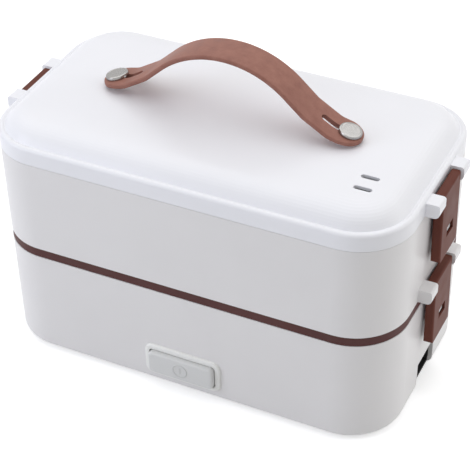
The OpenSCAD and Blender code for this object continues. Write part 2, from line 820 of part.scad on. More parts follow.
// Steel bowl about the middle: outer size at its lid, height, and the level of its underside.
module bowl(l, w, h, z) {
    ax = l / 2 - bowl_lid_over;
    ay = w / 2 - bowl_lid_over;
    bx = ax - flange_w;
    by = ay - flange_w;
    color([0.8, 0.81, 0.82]) {
        translate([0, 0, z]) linear_extrude(sheet_t) rounded(bx, by, bowl_r - flange_w);
        translate([0, 0, z]) linear_extrude(h) difference() {
            rounded(bx, by, bowl_r - flange_w);
            rounded(bx - sheet_t, by - sheet_t, bowl_r - flange_w - sheet_t);
        }
        translate([0, 0, z + h - sheet_t]) linear_extrude(sheet_t) difference() {
            rounded(ax, ay, bowl_r);
            rounded(bx - eps, by - eps, bowl_r - flange_w - eps);
        }
    }
}

// Flat lid of a bowl, resting on its flange, with a stiffening bead and a round steam plug on top.
module bowl_lid(l, w, h, z) {
    color([0.9, 0.91, 0.92]) translate([0, 0, z + h + rest_gap]) {
        linear_extrude(bowl_lid_t) rounded(l / 2, w / 2, bowl_r);
        translate([0, 0, bowl_lid_t]) linear_extrude(bead_h) difference() {
            rounded(l / 2 - bead_in, w / 2 - bead_in, bowl_r - bead_in);
            rounded(l / 2 - bead_in - bead_w, w / 2 - bead_in - bead_w, bowl_r - bead_in - bead_w);
        }
        translate([0, 0, bowl_lid_t]) cylinder(h = plug_h, r = plug_r);
    }
}

// Sets a bowl or its lid into the left (-1) or right (1) half of the box.
module in_half(s, l) {
    set_in_frame() translate([s * (l + bowl_gap) / 2, 0, 0]) children();
}

module lower_bowl_left() { in_half(-1, low_l) bowl(low_l, low_w, low_bowl_h, low_bowl_z); }
module lower_bowl_right() { in_half(1, low_l) bowl(low_l, low_w, low_bowl_h, low_bowl_z); }
module lower_bowl_lid_left() { in_half(-1, low_l) bowl_lid(low_l, low_w, low_bowl_h, low_bowl_z); }
module lower_bowl_lid_right() { in_half(1, low_l) bowl_lid(low_l, low_w, low_bowl_h, low_bowl_z); }
module upper_bowl_left() { in_half(-1, high_l) bowl(high_l, high_w, high_bowl_h, high_bowl_z); }
module upper_bowl_right() { in_half(1, high_l) bowl(high_l, high_w, high_bowl_h, high_bowl_z); }
module upper_bowl_lid_left() { in_half(-1, high_l) bowl_lid(high_l, high_w, high_bowl_h, high_bowl_z); }
module upper_bowl_lid_right() { in_half(1, high_l) bowl_lid(high_l, high_w, high_bowl_h, high_bowl_z); }

// ---- upper tier ----

module tier_shell() {
    color([0.93, 0.93, 0.94]) set_in_frame() {
        ring(band_top, tier_top, 0, wall);
        ring(band_top, band_top + floor_t, wall - eps, tier_floor_w);
        ring(tier_top - 6, tier_top, wall - eps, tongue_end);
        ring(tier_top - eps, tier_top + tongue_h, tongue_in, tongue_end);
    }
}

module tier_ears() {
    color([0.93, 0.93, 0.94]) set_in_frame() both_ends() difference() {
        ears(band_top);
        pin_bore(lower_pin_z);
    }
}

module tier_catches() {
    color([0.93, 0.93, 0.94]) set_in_frame() both_ends() catch(upper_pin_z - window_drop);
}

module tier_seal() {
    color([0.4, 0.25, 0.23]) set_in_frame() difference() {
        ring(base_top + seam, band_top, 0.3, band_t);
        ring(base_top, base_top + tongue_h + tongue_gap, wall, tongue_end);
    }
}

module steam_plate() {
    px = hx - tier_floor_w + plate_over;
    py = hy - tier_floor_w + plate_over;
    step_x = 2 * px / (plate_nx + 0.4);
    step_y = 2 * py / (plate_ny + 0.8);
    color([0.8, 0.81, 0.82]) set_in_frame() translate([0, 0, plate_z]) linear_extrude(plate_t)
        difference() {
            plan(tier_floor_w - plate_over);
            for (i = [0:plate_nx - 1], j = [0:plate_ny - 1])
                translate([(i - (plate_nx - 1) / 2) * step_x, (j - (plate_ny - 1) / 2) * step_y])
                    slot_plan(-plate_slot_l / 2, plate_slot_l / 2, plate_slot_w);
        }
}

module lower_pin_left() { color([0.7, 0.7, 0.72]) set_in_frame() mirror([1, 0, 0]) hinge_pin(lower_pin_z); }
module lower_pin_right() { color([0.7, 0.7, 0.72]) set_in_frame() hinge_pin(lower_pin_z); }
module lower_latch_left() { color([0.45, 0.28, 0.25]) set_in_frame() mirror([1, 0, 0]) latch(lower_pin_z); }
module lower_latch_right() { color([0.45, 0.28, 0.25]) set_in_frame() latch(lower_pin_z); }

// ---- lid ----

// Height of the crown's outer surface at a distance x outward from the corner centres.
function crown_at(x) = rim_z - groove_h + (crown_h + groove_h)
    * (1 - pow(min(x, crown_reach) / crown_reach, crown_pow));

// Section of the lid: skirt, rounded rim, fine groove and crown.
module lid_section() {
    rim_x = corner_r - rim_r;
    in_x = corner_r - wall;
    steps = [for (i = [0:crown_n]) crown_reach * sin(90 * i / crown_n)];
    outer = [for (x = steps) [x, crown_at(x)]];
    shrink = 1 - 1 / crown_reach;
    inner = [for (i = [crown_n - 1:-1:0]) [steps[i] * shrink, crown_at(steps[i]) - crown_wall]];
    roof_z = liner_z + liner_t + rest_gap;
    translate([rim_x, rim_z - rim_r]) intersection() {
        circle(rim_r);
        square(rim_r);
    }
    polygon(concat(
        outer,
        [[crown_reach + groove_w / 2, rim_z - groove_h], [crown_reach + groove_w, rim_z], [rim_x, rim_z],
         [rim_x, rim_z - rim_r], [corner_r, rim_z - rim_r], [corner_r, lid_z], [in_x, lid_z],
         [in_x, roof_z], [crown_reach - 1, roof_z]],
        inner
    ));
}

module lid_shell() {
    color([0.94, 0.94, 0.96]) set_in_frame() difference() {
        union() {
            sweep() lid_section();
            translate([-cx, -cy, crown_z - crown_wall]) cube([2 * cx, 2 * cy, crown_wall]);
            for (p = liner_posts()) translate([p[0], p[1], liner_z + liner_t])
                cylinder(h = crown_z - crown_wall / 2 - liner_z - liner_t, r = boss_r - 0.7);
        }
        for (s = [-1, 1]) translate([s * stud_x, 0, 0]) cylinder(h = 2 * crown_z, r = shank_r + 0.1);
        translate([0, 0, liner_z + liner_t]) steam_slots(crown_z);
        for (p = liner_posts()) translate([p[0], p[1], 0])
            cylinder(h = liner_z + liner_t + screw_l / 2 + 0.4, r = screw_r + 0.02);
    }
}

module lid_ears() {
    color([0.94, 0.94, 0.96]) set_in_frame() both_ends() difference() {
        ears(lid_z);
        pin_bore(upper_pin_z);
    }
}

// The pair of steam slots, cut upward through a height h.
module steam_slots(h) {
    for (s = [-1, 1]) translate([hx - vent_in_x, -hy + vent_in_y + s * vent_pitch / 2, 0])
        linear_extrude(h) slot_plan(-vent_l / 2 + vent_w / 2, vent_l / 2 - vent_w / 2, vent_w);
}

// Places of the posts that the lid's liner is screwed to.
function liner_posts() = [for (sx = [-1, 0, 1], sy = [-1, 1]) [sx * (cx - 14), sy * (cy - 6)]];

module lid_liner() {
    color([0.9, 0.9, 0.91]) set_in_frame() difference() {
        union() {
            plate(liner_z, liner_z + liner_t, liner_in);
            ring(liner_ring_z, liner_z + eps, liner_ring_in, liner_ring_in + liner_ring_t);
        }
        for (p = liner_posts()) translate([p[0], p[1], 0]) cylinder(h = rim_z, r = screw_r + 0.2);
        steam_slots(crown_z);
    }
}

module lid_gasket() {
    color([0.85, 0.85, 0.83]) set_in_frame()
        ring(lid_gasket_z, lid_gasket_z + lid_gasket_h, tongue_in, liner_ring_in);
}

module steam_duct() {
    duct_t = 1.2;
    dl = vent_l + 4;
    dw = vent_pitch + vent_w + 4;
    duct_z = liner_z + liner_t;
    duct_h = crown_at(0) - crown_wall - 2.2 - duct_z;
    color([0.12, 0.12, 0.12]) set_in_frame()
        translate([hx - vent_in_x, -hy + vent_in_y, duct_z]) linear_extrude(duct_h)
            difference() {
                square([dl, dw], center = true);
                square([dl - 2 * duct_t, dw - 2 * duct_t], center = true);
            }
}

module liner_screws() {
    color([0.7, 0.7, 0.72]) set_in_frame() for (p = liner_posts()) translate([p[0], p[1], liner_z]) {
        translate([0, 0, -screw_head_h]) cylinder(h = screw_head_h, r = screw_head_r);
        translate([0, 0, -eps]) cylinder(h = screw_l / 2 + liner_t, r = screw_r);
    }
}

module upper_pin_left() { color([0.7, 0.7, 0.72]) set_in_frame() mirror([1, 0, 0]) hinge_pin(upper_pin_z); }
module upper_pin_right() { color([0.7, 0.7, 0.72]) set_in_frame() hinge_pin(upper_pin_z); }
module upper_latch_left() { color([0.45, 0.28, 0.25]) set_in_frame() mirror([1, 0, 0]) latch(upper_pin_z); }
module upper_latch_right() { color([0.45, 0.28, 0.25]) set_in_frame() latch(upper_pin_z); }

// ---- strap handle ----

// Unit normal of the strap where its slope towards the middle is a.
function up_of(a) = [sin(a), cos(a)];
// Unit step along the strap towards the middle.
function in_of(a) = [-cos(a), sin(a)];
// Points [x, z, slope] along a bend that steepens from a to b, or eases from a to b, from point p.
function bend(p, a, b, r, n) = [for (i = [0:n]) let (
    s = b > a ? 1 : -1, t = a + (b - a) * i / n, q = p + s * r * (up_of(a) - up_of(t))) [q[0], q[1], t]];
function tip(list) = [list[len(list) - 1][0], list[len(list) - 1][1]];

strap_seat = crown_z + washer_h + strap_t / 2;
strap_foot = [stud_x, strap_seat];
strap_s0 = cap_d / 2 + 0.4;
strap_start = strap_foot - strap_end * in_of(strap_a0);
strap_bend1 = bend(strap_foot + strap_s0 * in_of(strap_a0), strap_a0, strap_a1, strap_r1, 5);
strap_bend2 = bend(tip(strap_bend1) + strap_s1 * in_of(strap_a1), strap_a1, strap_a2, strap_r2, 4);
strap_spring = tip(strap_bend2) + strap_s2 * in_of(strap_a2);
strap_arch_r = strap_spring[0] / sin(strap_a2);
strap_arch = bend(strap_spring, strap_a2, 0, strap_arch_r, 14);
strap_line = concat([[strap_start[0], strap_start[1], strap_a0]], strap_bend1, strap_bend2, strap_arch);
// One side of the strap, from the right end to the middle, at a distance d above its middle line.
function strap_side(d) = [for (p = strap_line) [p[0], p[1]] + d * up_of(p[2])];
function flipped(list) = [for (i = [len(list) - 1:-1:0]) [-list[i][0], list[i][1]]];
function turned(list) = [for (i = [len(list) - 1:-1:0]) list[i]];
function but_last(list) = [for (i = [0:len(list) - 2]) list[i]];

module strap_plan() {
    end_x = stud_x + strap_end - strap_w / 2;
    square([2 * end_x, strap_w], center = true);
    for (s = [-1, 1]) translate([s * end_x, 0]) circle(strap_w / 2);
}

module strap() {
    over = strap_side(strap_t / 2);
    under = strap_side(-strap_t / 2);
    top_line = concat(over, flipped(but_last(over)));
    under_line = concat(turned(flipped(but_last(under))), turned(under));
    color([0.62, 0.42, 0.36]) set_in_frame() difference() {
        intersection() {
            translate([0, strap_w, 0]) rotate([90, 0, 0]) linear_extrude(2 * strap_w)
                polygon(concat(top_line, under_line));
            translate([0, 0, crown_z]) linear_extrude(100) strap_plan();
        }
        for (s = [0, 1]) mirror([s, 0, 0]) translate([0, 0, crown_z - 1]) linear_extrude(60)
            slot_plan(stud_x - slot_l, stud_x, slot_w);
    }
}

// Stud at the right: shank, and a domed cap tilted with the strap.
module stud() {
    dome_r = (pow(cap_d / 2, 2) + pow(cap_dome, 2)) / (2 * cap_dome);
    shank_z = liner_z + liner_t + 1;
    translate([stud_x, 0, shank_z]) cylinder(h = strap_seat + strap_t / 2 + 0.6 - shank_z, r = shank_r);
    translate([stud_x, 0, strap_seat]) rotate([0, strap_a0, 0]) translate([0, 0, strap_t / 2 + 0.1])
        rotate_extrude() intersection() {
            square([cap_d / 2, cap_h]);
            translate([0, cap_h - dome_r]) circle(dome_r);
        }
}

module stud_left() { color([0.8, 0.8, 0.8]) set_in_frame() mirror([1, 0, 0]) stud(); }
module stud_right() { color([0.8, 0.8, 0.8]) set_in_frame() stud(); }

// Washer under the strap at the right, its upper side cut to the strap's slope.
module washer() {
    translate([stud_x, 0, 0]) difference() {
        translate([0, 0, crown_z]) cylinder(h = washer_h + strap_t, r = washer_d / 2);
        cylinder(h = 2 * crown_z, r = shank_r + 0.1);
        translate([0, 0, strap_seat]) rotate([0, strap_a0, 0])
            translate([-washer_d, -washer_d, -strap_t / 2 - 0.1]) cube(2 * washer_d);
    }
}

module stud_washers() { color([0.75, 0.75, 0.75]) set_in_frame() both_ends() washer(); }

// Nut under the crown at the right.
module nut() {
    translate([stud_x, 0, crown_z - crown_wall - nut_h]) difference() {
        cylinder(h = nut_h, r = nut_r, $fn = 6);
        translate([0, 0, -1]) cylinder(h = nut_h + 2, r = shank_r + 0.02);
    }
}

module stud_nuts() { color([0.7, 0.7, 0.7]) set_in_frame() both_ends() nut(); }

base_shell();
base_catches();
bottom_cover();
foot_front_left();
foot_front_right();
foot_rear_left();
foot_rear_right();
cover_screws();
heating_dish();
dish_gasket();
heater_block();
heater_clamp();
thermostat();
thermal_fuse();
terminal_block();
power_switch();
button_frame();
power_button();
button_spring();
signal_lamp();
inlet_housing();
inlet_pins();
live_wire();
neutral_wire();
earth_wire();
switch_wire();
lower_bowl_left();
lower_bowl_right();
lower_bowl_lid_left();
lower_bowl_lid_right();
tier_shell();
tier_ears();
tier_catches();
tier_seal();
steam_plate();
upper_bowl_left();
upper_bowl_right();
upper_bowl_lid_left();
upper_bowl_lid_right();
lower_pin_left();
lower_pin_right();
lower_latch_left();
lower_latch_right();
lid_shell();
lid_ears();
lid_liner();
lid_gasket();
steam_duct();
liner_screws();
upper_pin_left();
upper_pin_right();
upper_latch_left();
upper_latch_right();
strap();
stud_left();
stud_right();
stud_washers();
stud_nuts();
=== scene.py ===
# Stacking electric lunch box with a leather strap handle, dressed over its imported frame.
# Lengths are metres. The front with the power button faces -Y, and the power inlet is at the +X end.
import math
import bmesh
import bpy
from mathutils import Matrix, Vector


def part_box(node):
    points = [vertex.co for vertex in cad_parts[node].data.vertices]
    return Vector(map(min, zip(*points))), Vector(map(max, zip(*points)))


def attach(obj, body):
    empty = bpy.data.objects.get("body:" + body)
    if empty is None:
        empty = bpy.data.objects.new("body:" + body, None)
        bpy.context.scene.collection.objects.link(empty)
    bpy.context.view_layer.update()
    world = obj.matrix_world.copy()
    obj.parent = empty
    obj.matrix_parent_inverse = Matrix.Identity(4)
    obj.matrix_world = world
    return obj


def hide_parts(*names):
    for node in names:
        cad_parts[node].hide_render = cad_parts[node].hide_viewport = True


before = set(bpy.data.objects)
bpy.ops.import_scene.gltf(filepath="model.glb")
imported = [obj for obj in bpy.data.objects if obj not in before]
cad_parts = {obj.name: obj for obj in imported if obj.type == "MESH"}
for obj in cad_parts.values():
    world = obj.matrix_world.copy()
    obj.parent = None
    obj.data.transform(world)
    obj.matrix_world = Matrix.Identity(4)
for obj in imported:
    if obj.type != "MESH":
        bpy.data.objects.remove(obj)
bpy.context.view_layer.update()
MM = 0.001


# ---------------------------------------------------------------------------------------------------
# Base shell. The real one is moulded in white polypropylene with a soft gloss. Its bottom edge is
# rounded, and an opening in the front wall takes the button's frame.

def new_group(name, inputs, outputs):
    """Starts a shader node group and returns its tree, its input node and its output node."""
    group = bpy.data.node_groups.new(name, "ShaderNodeTree")
    for label, kind, value in inputs:
        group.interface.new_socket(label, in_out="INPUT", socket_type=kind).default_value = value
    for label, kind in outputs:
        group.interface.new_socket(label, in_out="OUTPUT", socket_type=kind)
    return group, group.nodes.new("NodeGroupInput"), group.nodes.new("NodeGroupOutput")


def add(tree, kind, **values):
    """Adds a node. A value named like a socket sets that socket, and any other sets a property."""
    node = tree.nodes.new(kind)
    for key, value in values.items():
        label = key.replace("_", " ")
        if label in node.inputs:
            node.inputs[label].default_value = value
        else:
            setattr(node, key, value)
    return node


def noise_at(tree, vector, scale, detail=2.0, roughness=0.5):
    """Noise of the given scale over a vector socket. Returns its value socket."""
    noise = add(tree, "ShaderNodeTexNoise", Detail=detail, Roughness=roughness)
    tree.links.new(vector, noise.inputs["Vector"])
    if isinstance(scale, (int, float)):
        noise.inputs["Scale"].default_value = scale
    else:
        tree.links.new(scale, noise.inputs["Scale"])
    return noise.outputs["Fac"]


def spread_to(tree, value, low, high, out_low, out_high):
    """Maps a value from low..high to out_low..out_high. The last two may be sockets."""
    node = add(tree, "ShaderNodeMapRange")
    tree.links.new(value, node.inputs["Value"])
    for label, end in (("From Min", low), ("From Max", high), ("To Min", out_low), ("To Max", out_high)):
        if isinstance(end, (int, float)):
            node.inputs[label].default_value = end
        else:
            tree.links.new(end, node.inputs[label])
    return node.outputs["Result"]


def blend_colours(tree, factor, first, second):
    """Mixes two colour sockets by a value socket. The node's colours are its inputs 6 and 7 and output 2."""
    node = add(tree, "ShaderNodeMix", data_type="RGBA")
    tree.links.new(factor, node.inputs[0])
    tree.links.new(first, node.inputs[6])
    tree.links.new(second, node.inputs[7])
    return node.outputs[2]


CLOUD_SCALE = 22.0
SMEAR_SCALE = 95.0


def make_moulded_skin():
    """Moulded plastic: faint clouds in its colour, uneven gloss and a fine spark-eroded grain."""
    group, ins, outs = new_group(
        "moulded skin",
        [("Color", "NodeSocketColor", (0.8, 0.8, 0.8, 1)), ("Cloud", "NodeSocketColor", (0.7, 0.7, 0.7, 1)),
         ("Grain", "NodeSocketFloat", 2600.0), ("Dull", "NodeSocketFloat", 0.45),
         ("Shiny", "NodeSocketFloat", 0.3)],
        [("Color", "NodeSocketColor"), ("Roughness", "NodeSocketFloat"), ("Height", "NodeSocketFloat")])
    place = add(group, "ShaderNodeTexCoord").outputs["Object"]
    clouds = spread_to(group, noise_at(group, place, CLOUD_SCALE), 0.35, 0.7, 0.0, 1.0)
    colour = blend_colours(group, clouds, ins.outputs["Color"], ins.outputs["Cloud"])
    group.links.new(colour, outs.inputs["Color"])
    smears = noise_at(group, place, SMEAR_SCALE, detail=3.0)
    gloss = spread_to(group, smears, 0.3, 0.7, ins.outputs["Shiny"], ins.outputs["Dull"])
    group.links.new(gloss, outs.inputs["Roughness"])
    group.links.new(noise_at(group, place, ins.outputs["Grain"], detail=1.0), outs.inputs["Height"])
    return group


moulded_skin = make_moulded_skin()


def linear(red, green, blue):
    """An sRGB colour in 0..255 as the linear colour that sockets take."""
    def channel(value):
        value /= 255
        return value / 12.92 if value <= 0.04045 else ((value + 0.055) / 1.055) ** 2.4
    return channel(red), channel(green), channel(blue), 1.0


def finish_with(name, group, values, bump=(0.15, 0.05 * MM), **shader_values):
    """A material: a Principled shader fed by one group's colour, roughness and height."""
    material = bpy.data.materials.new(name)
    material.use_nodes = True
    tree = material.node_tree
    shader = tree.nodes["Principled BSDF"]
    for key, value in shader_values.items():
        shader.inputs[key.replace("_", " ")].default_value = value
    source = add(tree, "ShaderNodeGroup", node_tree=group)
    for key, value in values.items():
        source.inputs[key].default_value = value
    tree.links.new(source.outputs["Color"], shader.inputs["Base Color"])
    tree.links.new(source.outputs["Roughness"], shader.inputs["Roughness"])
    relief = add(tree, "ShaderNodeBump", Strength=bump[0], Distance=bump[1])
    tree.links.new(source.outputs["Height"], relief.inputs["Height"])
    tree.links.new(relief.outputs["Normal"], shader.inputs["Normal"])
    return material


def plastic(name, colour, cloud, grain=2600.0, dull=0.45, shiny=0.3, **extra):
    """A moulded plastic in two close shades."""
    values = {"Color": linear(*colour), "Cloud": linear(*cloud), "Grain": grain,
              "Dull": dull, "Shiny": shiny}
    return finish_with(name, moulded_skin, values, **extra)


def dress(node, material):
    """Gives a node of the frame its finish."""
    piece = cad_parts[node]
    piece.data.materials.clear()
    piece.data.materials.append(material)


white_shell = plastic("white polypropylene", (232, 230, 230), (230, 228, 228), dull=0.37, shiny=0.34,
                      bump=(0.04, 0.02 * MM))
dress("base_shell", white_shell)
dress("base_catches", white_shell)


# ---------------------------------------------------------------------------------------------------
# Feet. Each is a rubber disc with a rounded rim, glued into the bottom cover. The cover is a matt
# moulding held by four screws, whose heads sit in counterbores.

def mesh_piece(name, bm, body, material, sharp=35.0):
    """Turns a bmesh into a smooth piece that rides on a body, with sharp edges kept over an angle."""
    bmesh.ops.recalc_face_normals(bm, faces=bm.faces[:])
    mesh = bpy.data.meshes.new(name)
    bm.to_mesh(mesh)
    bm.free()
    for face in mesh.polygons:
        face.use_smooth = True
    mesh.set_sharp_from_angle(angle=math.radians(sharp))
    piece = bpy.data.objects.new(name, mesh)
    bpy.context.scene.collection.objects.link(piece)
    mesh.materials.append(material)
    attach(piece, body)
    return piece


def lathe(bm, section, place=Matrix.Identity(4), steps=64):
    """Turns a section of (radius, height) about a piece's own upright axis. Radius 0 closes an end."""
    rings = []
    for radius, height in section:
        if radius == 0:
            rings.append([bm.verts.new(place @ Vector((0, 0, height)))])
            continue
        turns = [math.tau * i / steps for i in range(steps)]
        rings.append([bm.verts.new(place @ Vector((radius * math.cos(a), radius * math.sin(a), height)))
                      for a in turns])
    for lower, upper in zip(rings, rings[1:]):
        for i in range(steps):
            j = (i + 1) % steps
            below, above = len(lower), len(upper)
            corners = [lower[i % below], lower[j % below], upper[j % above], upper[i % above]]
            corners = list(dict.fromkeys(corners))
            if len(corners) > 2:
                bm.faces.new(corners)


def arc(centre, radius, start, stop, steps=6):
    """Points (x, y) on an arc, from one angle to another in degrees."""
    angles = [math.radians(start + (stop - start) * i / steps) for i in range(steps + 1)]
    return [(centre[0] + radius * math.cos(a), centre[1] + radius * math.sin(a)) for a in angles]


foot_rubber = plastic("foot rubber", (58, 58, 60), (48, 48, 50), grain=1400.0, dull=0.8, shiny=0.62,
                      bump=(0.4, 0.08 * MM))
FOOT_EDGE = 0.5 * MM
for end in ("front_left", "front_right", "rear_left", "rear_right"):
    low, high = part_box("foot_" + end)
    foot_r = (high.x - low.x) / 2
    middle = (low + high) / 2
    bm = bmesh.new()
    section = [(0, low.z), *arc((foot_r - FOOT_EDGE, low.z + FOOT_EDGE), FOOT_EDGE, -90, 0), (foot_r, high.z),
               (0, high.z)]
    lathe(bm, section, Matrix.Translation((middle.x, middle.y, 0)))
    foot = mesh_piece("rubber_foot_" + end, bm, "base", foot_rubber)
    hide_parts("foot_" + end)

inner_white = plastic("matt inner polypropylene", (222, 222, 222), (214, 214, 214), grain=1800.0, dull=0.6,
                      shiny=0.5, bump=(0.3, 0.06 * MM))
dress("bottom_cover", inner_white)


# ---------------------------------------------------------------------------------------------------
# Screws, pins, clamp and other plated steel. Fine lines run round or along each piece where it was
# turned or drawn.

def make_drawn_lines():
    """Drawn or brushed metal: fine lines along one direction, with streaks in colour and gloss."""
    group, ins, outs = new_group(
        "drawn lines",
        [("Color", "NodeSocketColor", (0.6, 0.6, 0.6, 1)), ("Streak", "NodeSocketColor", (0.5, 0.5, 0.5, 1)),
         ("Lines", "NodeSocketVector", (60.0, 3000.0, 3000.0)), ("Dull", "NodeSocketFloat", 0.4),
         ("Shiny", "NodeSocketFloat", 0.22)],
        [("Color", "NodeSocketColor"), ("Roughness", "NodeSocketFloat"), ("Height", "NodeSocketFloat")])
    place = add(group, "ShaderNodeTexCoord").outputs["Object"]
    stretched = add(group, "ShaderNodeVectorMath", operation="MULTIPLY")
    group.links.new(place, stretched.inputs[0])
    group.links.new(ins.outputs["Lines"], stretched.inputs[1])
    streaks = noise_at(group, stretched.outputs[0], 1.0, detail=3.0)
    colour = blend_colours(group, streaks, ins.outputs["Color"], ins.outputs["Streak"])
    group.links.new(colour, outs.inputs["Color"])
    gloss = spread_to(group, streaks, 0.3, 0.7, ins.outputs["Shiny"], ins.outputs["Dull"])
    group.links.new(gloss, outs.inputs["Roughness"])
    group.links.new(streaks, outs.inputs["Height"])
    return group


drawn_lines = make_drawn_lines()


def steel(name, colour, streak, lines, dull=0.4, shiny=0.22, bump=(0.12, 0.02 * MM)):
    """A bare or plated steel with its lines stretched along the smallest of the three numbers."""
    values = {"Color": linear(*colour), "Streak": linear(*streak), "Lines": lines,
              "Dull": dull, "Shiny": shiny}
    return finish_with(name, drawn_lines, values, bump=bump, Metallic=1.0)


plated_steel = steel("plated steel", (205, 205, 206), (182, 182, 184), (2500.0, 120.0, 2500.0), dull=0.34,
                     shiny=0.2)
dress("cover_screws", plated_steel)


# ---------------------------------------------------------------------------------------------------
# Heating dish and what hangs under it. The dish is drawn stainless sheet on a silicone gasket. A cast
# heater block is clamped under its floor, with a thermostat and a thermal fuse beside it.

sheet_steel = steel("stainless sheet", (206, 207, 209), (186, 187, 190), (90.0, 2200.0, 2200.0), dull=0.36,
                    shiny=0.24)
dress("heating_dish", sheet_steel)
silicone = plastic("white silicone", (214, 212, 206), (204, 202, 195), grain=900.0, dull=0.6, shiny=0.45)
dress("dish_gasket", silicone)
cast_block = steel("cast aluminium", (186, 187, 190), (160, 161, 165), (700.0, 700.0, 700.0), dull=0.55,
                   shiny=0.4, bump=(0.5, 0.1 * MM))
dress("heater_block", cast_block)
dress("heater_clamp", plated_steel)
brown_resin = plastic("brown resin", (122, 84, 58), (104, 70, 48), grain=1500.0, dull=0.55, shiny=0.4)
dress("thermostat", brown_resin)
glass_sleeve = plastic("woven glass sleeve", (226, 222, 204), (206, 200, 178), grain=1100.0, dull=0.85,
                       shiny=0.7, bump=(0.6, 0.1 * MM))
dress("thermal_fuse", glass_sleeve)


# ---------------------------------------------------------------------------------------------------
# Wiring inside the base: nylon terminal block, push switch with its leaf spring, amber lamp, and the
# sleeved wires between them and the inlet's tabs.

natural_nylon = plastic("natural nylon", (232, 226, 204), (220, 212, 186), grain=1700.0, dull=0.5, shiny=0.36)
dress("terminal_block", natural_nylon)
black_moulding = plastic("black moulding", (30, 30, 32), (22, 22, 24), grain=1900.0, dull=0.55, shiny=0.38,
                         bump=(0.3, 0.05 * MM))
dress("power_switch", black_moulding)
dress("button_spring", plated_steel)
amber_lens = plastic("amber lens", (236, 128, 52), (222, 108, 38), grain=1200.0, dull=0.2, shiny=0.1)
dress("signal_lamp", amber_lens)
WIRES = {"live_wire": (118, 74, 48), "neutral_wire": (44, 84, 168), "earth_wire": (120, 150, 52),
         "switch_wire": (178, 48, 42)}
WIRE_SHADE = 0.86
for wire, colour in WIRES.items():
    darker = tuple(WIRE_SHADE * value for value in colour)
    sleeve = plastic(wire.replace("_", " ") + " sleeve", colour, darker, grain=800.0, dull=0.55, shiny=0.4)
    dress(wire, sleeve)


# ---------------------------------------------------------------------------------------------------
# Power inlet at the foot of the right end: a black moulded housing with three plated pins in it.

dress("inlet_housing", black_moulding)
plated_brass = steel("plated brass", (214, 190, 128), (196, 170, 108), (120.0, 2400.0, 2400.0))
dress("inlet_pins", plated_brass)


# ---------------------------------------------------------------------------------------------------
# Power button and its frame. Both are pale mouldings with softly rounded edges. The button carries a
# raised symbol and slides in the frame's sleeve, which reaches through the front wall.

def rounded_outline(half_w, half_h, radius, steps=8):
    """Points (x, z) round a rounded rectangle about the middle. All outlines have the same count."""
    points = []
    for start, sx, sz in ((0, 1, 1), (90, -1, 1), (180, -1, -1), (270, 1, -1)):
        points += arc((sx * (half_w - radius), sz * (half_h - radius)), radius, start, start + 90, steps)
    return points


def loft(bm, rings, closed=False, caps=False):
    """Joins rings of points of equal count with quads, one after the other."""
    loops = [[bm.verts.new(point) for point in ring] for ring in rings]
    pairs = list(zip(loops, loops[1:])) + ([(loops[-1], loops[0])] if closed else [])
    for first, second in pairs:
        for i in range(len(first)):
            j = (i + 1) % len(first)
            bm.faces.new((first[i], first[j], second[j], second[i]))
    if caps:
        bm.faces.new(loops[0])
        bm.faces.new(loops[-1])


LEAST_CORNER = 0.2 * MM


def front_rings(middle, half_w, half_h, radius, profile):
    """Outlines parallel to the front wall. The profile lists (inset, y) from ring to ring."""
    rings = []
    for inset, y in profile:
        outline = rounded_outline(half_w - inset, half_h - inset, max(radius - inset, LEAST_CORNER))
        rings.append([Vector((middle.x + x, y, middle.z + z)) for x, z in outline])
    return rings


frame_plastic = plastic("pale frame", (243, 243, 240), (240, 240, 237), dull=0.36, shiny=0.32,
                        bump=(0.04, 0.02 * MM))
button_plastic = plastic("pale button", (221, 221, 220), (218, 218, 217), grain=1500.0, dull=0.5, shiny=0.44,
                         bump=(0.08, 0.03 * MM))
FRONT_Y = -63.8 * MM
FRAME_CORNER = 4.8 * MM
FRAME_EDGE = 1.1 * MM
FRAME_RIM = 2.9 * MM
FRAME_INNER_EDGE = 0.25 * MM
SLEEVE_T = 1.2 * MM
BUTTON_CORNER = 2.6 * MM
BUTTON_EDGE = 1.3 * MM
BUTTON_GAP = 0.4 * MM
FACE_INSET = 4.0 * MM
FLANGE_REACH = 1.3 * MM
FLANGE_T = 1.2 * MM
STEM_L = 3.0 * MM
STEM_HALF = 4.0 * MM
STEM_CORNER = 0.5 * MM
low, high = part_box("button_frame")
frame_mid = Vector((0, 0, (low.z + high.z) / 2))
half_w = (high.x - low.x) / 2
half_h = (high.z - low.z) / 2
sleeve_in = FRAME_RIM - SLEEVE_T
profile = [(sleeve_in, high.y), (sleeve_in, FRONT_Y), (0, FRONT_Y)]
profile += arc((FRAME_EDGE, low.y + FRAME_EDGE), FRAME_EDGE, 180, 270)
profile += arc((FRAME_RIM - FRAME_INNER_EDGE, low.y + FRAME_INNER_EDGE), FRAME_INNER_EDGE, 270, 360)
profile += [(FRAME_RIM, high.y)]
bm = bmesh.new()
loft(bm, front_rings(frame_mid, half_w, half_h, FRAME_CORNER, profile), closed=True)
frame_piece = mesh_piece("button_frame_moulding", bm, "base", frame_plastic)
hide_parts("button_frame")

